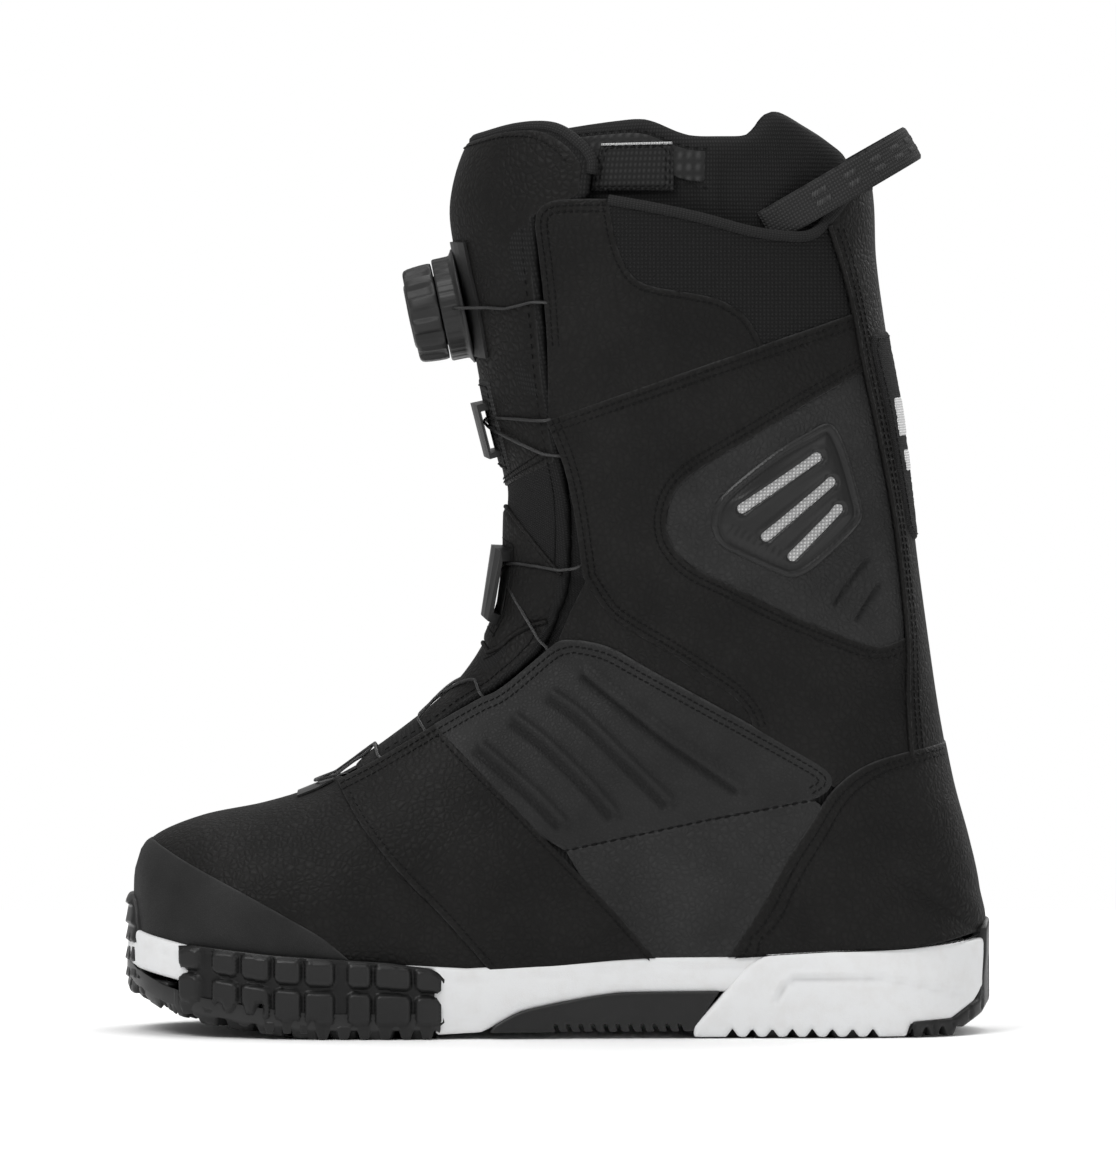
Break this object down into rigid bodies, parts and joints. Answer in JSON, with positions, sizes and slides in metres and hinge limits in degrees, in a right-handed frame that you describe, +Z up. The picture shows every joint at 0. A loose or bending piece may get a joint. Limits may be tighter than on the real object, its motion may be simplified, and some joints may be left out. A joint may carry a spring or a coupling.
{
  "type": "snowboard boot",
  "caption": "Left snowboard boot with a cup sole, panelled upper, hinging tongue, front dial that winds a steel lace, and a removable padded liner with a pull loop.",
  "frame": {"origin": "on the floor, under the centre of the boot's bounding box", "axes": "+X from toe to heel, -Y the outer (lateral) side, +Z up the shaft"},
  "size_m": [0.309, 0.1173, 0.3306],
  "materials": {
    "midsole_foam": "matte moulded foam rubber, off-white",
    "outsole_rubber": "matte moulded rubber, black",
    "lasting_board": "pressed fibre board",
    "shank_steel": "spring steel strip",
    "lining_textile": "woven lining on foam",
    "stiffener_board": "thermoformed board",
    "tpu_black": "satin moulded thermoplastic",
    "leather_black": "matte coated synthetic leather",
    "toe_rubberised": "matte rubberised overlay, dark grey",
    "ribbed_grey": "grained synthetic leather, dark grey",
    "pebbled_grey": "pebbled synthetic leather, dark grey",
    "vent_screen": "fine silver mesh",
    "collar_knit": "open black knit",
    "pile_patch": "short dense pile",
    "pile_mark": "light bars woven on the pile",
    "tongue_textile": "padded textile with coated panels",
    "gusset_textile": "stretch textile",
    "webbing_black": "woven webbing",
    "dial_plastic": "moulded nylon",
    "spool_plastic": "moulded acetal",
    "lace_steel": "stranded steel cable",
    "screw_steel": "machined screw",
    "knob_rubber": "soft-touch overmoulded grip",
    "knob_cap": "satin cap",
    "liner_foam": "knit over heat-mouldable foam",
    "patch_textile": "stitched woven patch",
    "footbed_foam": "cloth-faced foam"
  },
  "bodies": {
    "boot": {"midsole": "midsole_foam", "heel_pod": "midsole_foam", "arch_insert": "outsole_rubber", "outsole_forefoot": "outsole_rubber", "toe_tread": "outsole_rubber", "heel_tread": "outsole_rubber", "insole_board": "lasting_board", "shank": "shank_steel", "vamp_lining": "lining_textile", "quarter_lining_lateral": "lining_textile", "quarter_lining_medial": "lining_textile", "toe_puff": "stiffener_board", "heel_stiffener": "stiffener_board", "spine_stiffener": "tpu_black", "vamp": "leather_black", "toe_overlay": "toe_rubberised", "forefoot_quarter_lateral": "leather_black", "forefoot_quarter_medial": "leather_black", "instep_panel_lateral": "ribbed_grey", "instep_panel_medial": "ribbed_grey", "side_panel_lateral": "pebbled_grey", "side_panel_medial": "pebbled_grey", "ankle_wrap_lateral": "leather_black", "ankle_wrap_medial": "leather_black", "ankle_panel_lateral": "pebbled_grey", "ankle_panel_medial": "pebbled_grey", "vent_frame_lateral": "tpu_black", "vent_frame_medial": "tpu_black", "vent_mesh_lateral": "vent_screen", "vent_mesh_medial": "vent_screen", "cuff_panel_lateral": "leather_black", "cuff_panel_medial": "leather_black", "collar_mesh_lateral": "collar_knit", "collar_mesh_medial": "collar_knit", "heel_counter": "leather_black", "back_panel": "leather_black", "heel_patch": "pile_patch", "heel_mark": "pile_mark", "gusset_lateral": "gusset_textile", "gusset_medial": "gusset_textile", "throat_guide": "webbing_black", "quarter_guides": "webbing_black", "lace": "lace_steel", "liner_foot": "liner_foam", "liner_cuff": "liner_foam", "liner_patch": "patch_textile", "footbed": "footbed_foam"},
    "tongue": {"tongue": "tongue_textile", "tongue_guides": "tpu_black", "dial_plate": "tpu_black", "dial_base": "dial_plastic", "ratchet_ring": "dial_plastic", "centre_screw": "screw_steel"},
    "dial_spool": {"spool": "spool_plastic", "spooled_lace": "lace_steel"},
    "dial_knob": {"knob": "knob_rubber", "knob_cap": "knob_cap", "pawl_disc": "dial_plastic"},
    "liner_tongue": {"liner_tongue": "liner_foam"},
    "pull_loop": {"pull_loop": "webbing_black"}
  },
  "joints": [
    {"name": "tongue_flex", "type": "hinge", "parent": "boot", "child": "tongue", "pos_m": [-0.074, 0, 0.093], "axis": [0, -1, 0], "range_deg": [0, 20], "deforming": ["lace", "gusset_lateral", "gusset_medial"]},
    {"name": "liner_tongue_flex", "type": "hinge", "parent": "boot", "child": "liner_tongue", "pos_m": [-0.013, 0, 0.165], "axis": [0, -1, 0], "range_deg": [0, 18]},
    {"name": "dial_turn", "type": "hinge", "parent": "tongue", "child": "dial_spool", "pos_m": [-0.032, 0, 0.26], "axis": [-0.9781, 0, -0.2079], "continuous": true},
    {"name": "dial_pop", "type": "slide", "parent": "dial_spool", "child": "dial_knob", "axis": [-0.9781, 0, -0.2079], "range_m": [0, 0.0022]},
    {"name": "pull_loop_swing", "type": "hinge", "parent": "boot", "child": "pull_loop", "pos_m": [0.084, 0, 0.291], "axis": [0, -1, 0], "range_deg": [0, 25]}
  ],
  "couplings": [
    {"joint": "liner_tongue_flex", "follows": "tongue_flex", "ratio": 0.9}
  ]
}
